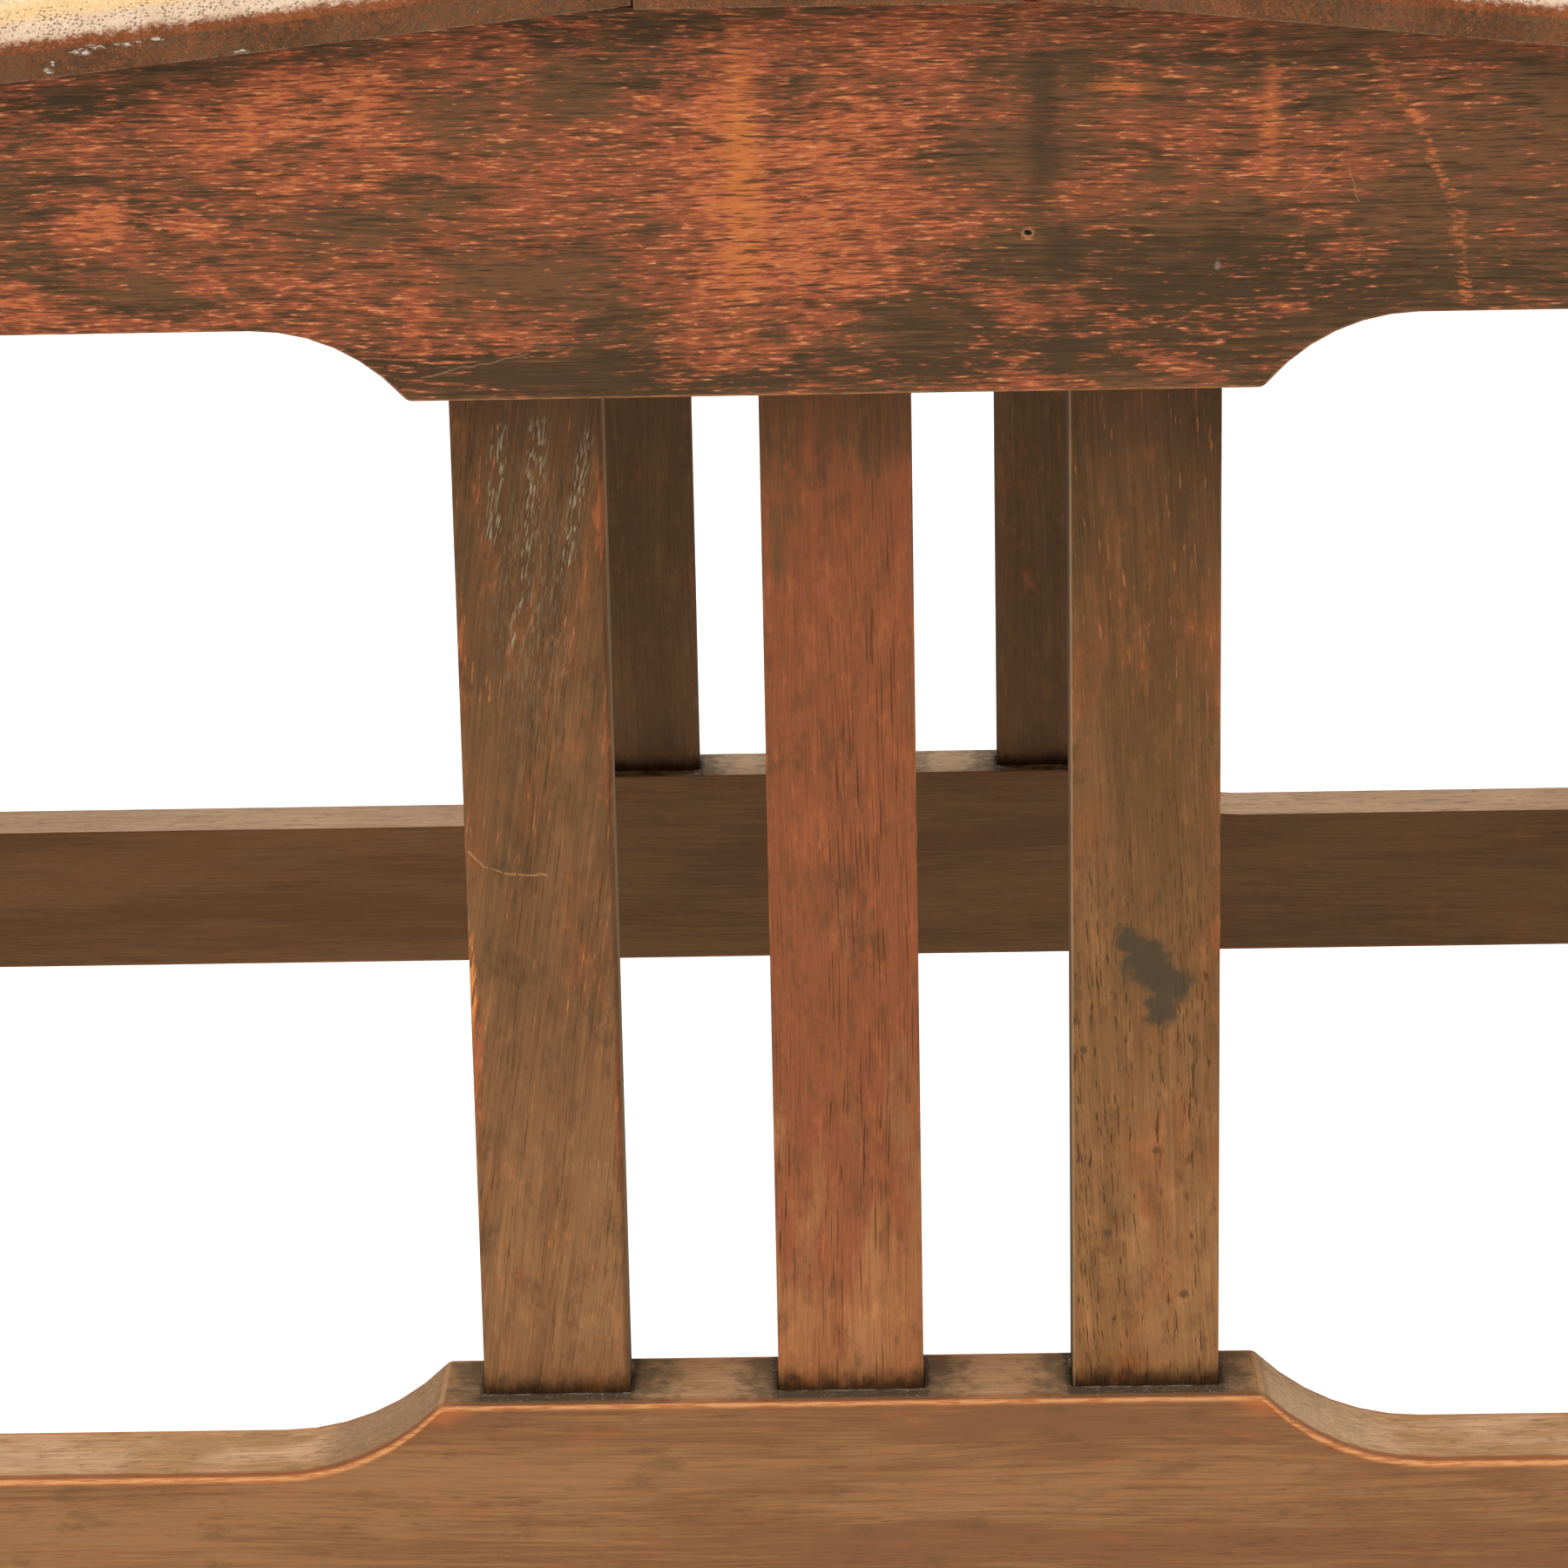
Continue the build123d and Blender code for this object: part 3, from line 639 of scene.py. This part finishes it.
def seat_top(at, up):
    """The upper face of the seat: finish that is kept, cream where it has worn off."""
    g, x, y, look, strand = at.g, at.x, at.y, at.look, at.strand
    fade = g.noise(g.join(x, y, 0.0), (60, 150, 10), 5.0, 6.0, 0.72)
    thin = (fade - 0.5) * 1.6 + (strand - 0.5) * 0.5 + (at.rings - 0.5) * 0.5
    rubbed = (abs(y) / RUBBED_DEPTH + thin * 0.5).over(0.5, 1.0)
    dish = g.join((abs(x) - DISH_MIDDLE) / SAT_HALF_LENGTH, y / SAT_HALF_DEPTH, 0.0)
    sat = (g.vector("LENGTH", dish) - thin).over(1.0, 0.1)
    grain = (at.broad * 0.3 + at.band * 0.3 + at.rings * 0.4).over(0.40, 0.60)
    kept = g.mix(grain, look["kept_dark"], look["kept"])
    cream = g.mix(at.line.over(0.4, 0.6), "ccb48e", "dfc9a4")
    top = g.mix(g.largest(rubbed * 0.85, sat * 0.6), kept, cream)
    strands = (strand - 0.5) * 0.4
    lines = (at.line - 0.5) * 0.45
    top = g.shade(top, 1.0 + strands + lines + (grain - 0.5) * 0.08)

    # Dirt along the joints between the boards and in the pores
    joint = g.smallest(*[abs(abs(x) - place) for place in BOARD_JOINTS])
    dirt = (joint + (strand - 0.5) * 1.2).over(1.4, 0.3) * up.over(0.97, 1.0)
    top = g.mix(dirt * 0.5, top, "6b5138")
    return g.mix(at.dash.over(0.60, 0.66) * up.over(0.99, 1.0) * 0.35, top, "6b5138")


def seat_paint(colour, roughness, at):
    """The rounded board ends go from rust below through pink and honey to the top.

    Changes in look: kept and kept_dark are the tones of the finish on the upper face.
    """
    g, x, y, up, seed = at.g, at.x, at.y, at.up, at.seed
    honey = g.mix(at.strand.over(0.4, 0.6), "dcb079", "e6c08c")
    pink = g.mix((at.patch * 0.5 + at.strand * 0.5).over(0.4, 0.6), "cfad90", "e0c6ab")
    rust = g.mix((at.dash * 0.5 + at.patch * 0.5).over(0.42, 0.58), "784127", "9b5633")
    top = g.mix(up.over(0.45, 0.65) * up.over(0.985, 0.9) * 0.8, seat_top(at, up), honey)
    top = g.mix(up.over(0.72, 0.45), top, pink)
    ragged = g.noise(at.place, (1.2, 3.0, 0.8), seed + 33, 5.0, 0.75)
    bare = up + (ragged - 0.5) * 0.5
    colour = g.mix(bare.over(-0.06, 0.14) * up.over(-0.5, 0.0) * 0.8, colour, rust)
    colour = g.mix(bare.over(0.14, 0.34), colour, top)

    # Open pores of the end grain, as leaning rows of dots
    skewed = x - at.z * 0.5
    across = g.join(skewed * (1 / 0.8), y * (1 / 30.0), at.z * (1 / 0.5))
    cell = g.add("TexVoronoi", {"Vector": across, "Scale": 1.0, "Randomness": 0.75}, feature="F1")
    rows = g.noise(g.join(skewed, y, at.z), (2.2, 40.0, 2.4), seed + 35, 2.0).over(0.42, 0.52)
    dots = Value(g, cell.outputs["Distance"]).over(0.42, 0.22) * rows
    colour = g.mix(dots * up.over(0.0, 0.2) * up.over(0.95, 0.7) * 0.75, colour, "5b4632")

    colour = g.mix(up.over(-0.5, -0.9), colour, "8b6a48")
    return colour, roughness + up.over(0.2, 0.8) * 0.08


def left_board_paint(colour, roughness, at):
    """The seat's finish with flecks of white paint on the front end."""
    colour, roughness = seat_paint(colour, roughness, at)
    marks = Marks(at.g, at.x, at.z, 1.6)
    paint = at.g.largest(
        marks.spot((-121.0, 426.2), (2.0, 0.7)),
        marks.spot((-117.8, 427.0), (2.6, 0.5)),
        marks.spot((-113.0, 427.4), (2.8, 0.4)),
        marks.spot((-108.0, 428.0), (1.5, 0.5)),
        marks.spot((-126.2, 423.2), (1.0, 0.6)),
        marks.spot((-125.4, 424.3), (0.5, 0.6)),
        marks.spot((-94.7, 425.9), (1.6, 0.4)),
    )
    broken = at.g.noise(at.place, (0.9, 4.0, 0.35), at.seed + 37, 2.0).over(0.44, 0.56)
    return at.g.mix(paint * at.front * broken * 0.85, colour, "c9bfb0"), roughness


# Aprons and stretchers of the two long sides

dress("front_apron", oak(
    "oak_front_apron", grain="x", seed=1.0, finish=Finish(apron_paint, apron_wear),
    top_dark="4a3927", pores=0.5, edge_size=0.7, stroke=0.55, flecks=0.75,
))
dress("rear_apron", oak("oak_rear_apron", grain="x", seed=2.0, worn=-0.035, stroke=0.6, flecks=0.6))
dress("front_stretcher", oak(
    "oak_front_stretcher", grain="x", seed=3.0, finish=Finish(stretcher_paint),
    low_dark="83593a", low_coat="9a6d47", worn=-0.09, tint=0.25, reds=0.1, oranges=0.2,
    pales=0.1, lines=0.22, pores=0.25, edge_size=1.7, edge_share=0.0,
    dust="cba27c", dust_dark="b2895f", raised="9a7451", cove_left="95785a", cove_right="bd9e79",
    arris=1.0, glow=0.0, smut=0.4,
))
# The rear stretcher's coat tones are set darker than the front one's, as painted shade under the
# seat
dress("rear_stretcher", oak(
    "oak_rear_stretcher", grain="x", seed=4.0, finish=Finish(stretcher_paint),
    low_dark="61452c", low_coat="6f5135", soft="6c4a2e", worn=-0.05, tint=0.4, reds=0.0,
    oranges=0.0, pales=0.0, lines=0.12, pores=0.1, edge_share=0.1,
    dust="cdaa86", dust_dark="c29f7b", raised="bfa07c", cove_left="b99876", cove_right="b99876",
    arris=0.12, glow=0.3, smut=0.15,
))

# Slats of the two long sides

dress("front_slat_left", oak(
    "oak_front_slat_left", grain="z", seed=6.0, finish=Finish(left_slat_paint, left_slat_wear),
    lean=-0.15, top_dark="573f29", top_coat="67472d", low_dark="7f5839", low_coat="906642",
    soft="7a4c2c", aside="86714c", worn=-0.055, tint=0.6, reds=0.1, oranges=0.45, pales=0.3,
    lines=0.28, pores=0.45, pore_length=7.0, edge_share=0.4,
))
dress("front_slat_centre", oak(
    "oak_front_slat_centre", grain="z", seed=7.0,
    finish=Finish(slat_paint, centre_slat_wear, centre_slat_pores),
    top_dark="5f432b", top_coat="6e472d", low_dark="99623c", low_coat="a76f47",
    soft="874d32", red="934f2f", orange="a35f38", tint=0.85, reds=0.12, oranges=0.14,
    pales=0.06, lines=0.3, pores=0.65, pore_length=13.0, pore_width=0.3, edge_share=0.4,
))
dress("front_slat_right", oak(
    "oak_front_slat_right", grain="z", seed=8.0,
    finish=Finish(right_slat_paint, right_slat_wear, right_slat_pores),
    lean=0.05, top_dark="4f3823", top_coat="5e4029", low_dark="875e39", low_coat="9a6d45",
    soft="83502e", worn=-0.04, tint=0.6, reds=0.1, oranges=0.12, pales=0.05,
    lines=0.24, pores=0.75, pore_length=3.6, pore_width=0.34, edge_share=0.4,
))
# The rear slats' coat tones are set darker, partly dirt and partly painted shade under the seat
for index, side in enumerate(("left", "centre", "right")):
    dress(f"rear_slat_{side}", oak(
        f"oak_rear_slat_{side}", grain="z", seed=11.0 + index, finish=Finish(slat_paint),
        top_dark="533e29", top_coat="5e462e", low_dark="5c432b", low_coat="694d33",
        soft="64492f", worn=-0.05, tint=0.4, reds=0.0, oranges=0.0, pales=0.0,
        lines=0.12, pores=0.15, edge_share=0.1,
    ))

# The two ends and the legs

for index, end in enumerate(("left_end", "right_end")):
    dress(f"{end}_apron", oak(
        f"oak_{end}_apron", grain="y", seed=21.0 + index, worn=-0.035, stroke=0.6, flecks=0.6,
    ))
    dress(f"{end}_stretcher", oak(
        f"oak_{end}_stretcher", grain="y", seed=23.0 + index,
        worn=-0.08, tint=0.3, reds=0.3, oranges=0.4, lines=0.35, pores=0.4, edge_size=1.2,
    ))
    for offset, side in enumerate(("front", "centre", "rear")):
        dress(f"{end}_slat_{side}", oak(
            f"oak_{end}_slat_{side}", grain="z", seed=25.0 + index * 3 + offset,
            finish=Finish(slat_paint),
            worn=-0.07, tint=0.4, reds=0.3, oranges=0.4, pales=0.2, lines=0.35,
        ))
for index, corner in enumerate(("front_left", "front_right", "rear_left", "rear_right")):
    dress(f"leg_{corner}", oak(
        f"oak_leg_{corner}", grain="z", seed=41.0 + index, worn=-0.05, reds=0.6, oranges=0.6,
    ))

# Seat boards, which differ a little in the tone of their finish

SEAT = dict(
    top_dark="563f2c", top_coat="6a4d36", low_dark="563f2c", low_coat="6a4d36", soft="6f4830",
    red="7c4e34", orange="8d5a3a", edge="9a7c5c", pale="b39a7a", worn=-0.05, tint=0.5,
    reds=0.3, oranges=0.4, pales=0.3, lines=0.5, pores=0.4, edge_share=0.6, edge_size=0.5,
)
KEPT_TONES = (
    ("a17d53", "b69267"),
    ("ad895e", "c09c71"),
    ("99754c", "ae885d"),
    ("a78359", "bb976c"),
)
seat_boards = [n for n in sorted(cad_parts) if "seat_board" in n and "screws" not in n]
for index, node in enumerate(seat_boards):
    paint = left_board_paint if node == "left_seat_board_1" else seat_paint
    kept_dark, kept = KEPT_TONES[index * 3 % len(KEPT_TONES)]
    dress(node, oak(
        f"oak_{node}", grain="y", seed=51.0 + index, finish=Finish(paint),
        kept_dark=kept_dark, kept=kept, **SEAT,
    ))

# Plain oak under the seat, and the pegs

INNER = dict(
    top_dark="6b5136", top_coat="82643f", low_dark="6b5136", low_coat="82643f", worn=-0.14,
    tint=0.2, reds=0.2, oranges=0.2, pales=0.1, lines=0.5, edge_share=0.2,
)
cleats = [n for n in sorted(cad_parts) if n.endswith("_seat_cleat")]
for index, node in enumerate(cleats):
    grain = "y" if "end" in node else "x"
    dress(node, oak(f"oak_{node}", grain=grain, seed=91.0 + index, **INNER))
dress("centre_bearer", oak("oak_centre_bearer", grain="y", seed=99.0, **INNER))
dress("joint_pegs", oak(
    "oak_pegs", grain="y", seed=101.0, top_dark="33261a", top_coat="463322", low_dark="33261a",
    low_coat="463322", worn=-0.15, edge_share=0.6,
))


# Screws

def steel(name):
    g = Graph(name)
    place = g.scaled(Value(g, g.add("TexCoord").outputs["Object"]), MM)
    tarnish = g.noise(place, (1.4, 1.4, 1.4), 3.0, 4.0, 0.6)
    bump = g.add("Bump", {"Height": tarnish, "Strength": 0.4, "Distance": 0.0001})
    return g.surface({
        "Base Color": g.mix(tarnish.over(0.42, 0.6), "6d655c", "3c2f25"),
        "Roughness": 0.35 + tarnish * 0.4,
        "Normal": Value(g, bump.outputs["Normal"]),
        "Metallic": 0.85,
    })


aged_steel = steel("aged_screw_steel")
dress("seat_board_screws", aged_steel)
dress("cleat_screws", aged_steel)


# Floor, light and camera

WHITE = (1.0, 1.0, 1.0, 1.0)

# How far the floor reaches and how far it lies under the feet, in metres
FLOOR_HALF = 40.0
FLOOR_DROP = 0.0005

# The floor also glows, so that it is as pale as the photograph's ground.
FLOOR_GLOW = 0.95
WORLD_LIGHT = 0.4

# The camera that a fit to the edges in the photograph gave, its lens and sensor in millimetres
CAMERA_PLACE = (0.00356, -1.0275, 0.5122)
CAMERA_PITCH = math.radians(14.76)
CAMERA_YAW = math.radians(-0.942)
CAMERA_ROLL = math.radians(-1.125)
LENS_LENGTH = 113.0
SENSOR_WIDTH = 36


def stage_floor():
    mesh = bpy.data.meshes.new("floor")
    corners = [(-1, -1), (1, -1), (1, 1), (-1, 1)]
    points = [(x * FLOOR_HALF, y * FLOOR_HALF, 0) for x, y in corners]
    mesh.from_pydata(points, [], [(0, 1, 2, 3)])
    floor = bpy.data.objects.new("floor", mesh)
    bpy.context.scene.collection.objects.link(floor)
    floor.location.z = -FLOOR_DROP
    g = Graph("pale_floor")
    place = Value(g, g.add("TexCoord").outputs["Object"])
    clouds = g.noise(place, (0.8, 0.8, 0.8), 2.0)
    mesh.materials.append(g.surface({
        "Base Color": g.mix(clouds.over(0.3, 0.7), "969593", "9a9a99"),
        "Roughness": 0.8,
        "Specular IOR Level": 0.1,
        "Emission Color": WHITE,
        "Emission Strength": FLOOR_GLOW,
    }))


def soft_box(name, place, target, width, depth, power):
    light = bpy.data.lights.new(name, "AREA")
    light.shape = "RECTANGLE"
    light.size = width
    light.size_y = depth
    light.energy = power
    box = bpy.data.objects.new(name, light)
    bpy.context.scene.collection.objects.link(box)
    box.location = place
    box.rotation_euler = (Vector(target) - Vector(place)).to_track_quat("-Z", "Y").to_euler()


def photo_camera():
    ahead = math.cos(CAMERA_PITCH)
    drop = math.sin(CAMERA_PITCH)
    forward = Vector((math.sin(CAMERA_YAW) * ahead, math.cos(CAMERA_YAW) * ahead, -drop))
    level = Vector((math.cos(CAMERA_YAW), -math.sin(CAMERA_YAW), 0))
    upward = level.cross(forward)
    right = level * math.cos(CAMERA_ROLL) + upward * math.sin(CAMERA_ROLL)
    up = upward * math.cos(CAMERA_ROLL) - level * math.sin(CAMERA_ROLL)
    lens = bpy.data.cameras.new("camera")
    lens.sensor_width = SENSOR_WIDTH
    lens.lens = LENS_LENGTH
    camera = bpy.data.objects.new("camera", lens)
    bpy.context.scene.collection.objects.link(camera)
    turned = Matrix((right, up, -forward)).transposed().to_4x4()
    camera.matrix_world = Matrix.Translation(CAMERA_PLACE) @ turned
    bpy.context.scene.camera = camera


stage_floor()
soft_box(
    "front_top_light", place=(-0.3, -1.25, 2.75), target=(0, -0.2, 0.3),
    width=2.4, depth=1.2, power=64,
)
soft_box(
    "back_top_light", place=(0.3, 1.6, 2.5), target=(0, 0, 0.2),
    width=3.0, depth=1.6, power=42,
)

world = bpy.data.worlds.new("studio")
world.use_nodes = True
background = world.node_tree.nodes["Background"]
background.inputs["Color"].default_value = WHITE
background.inputs["Strength"].default_value = WORLD_LIGHT
bpy.context.scene.world = world
bpy.context.scene.view_settings.view_transform = "Standard"
photo_camera()
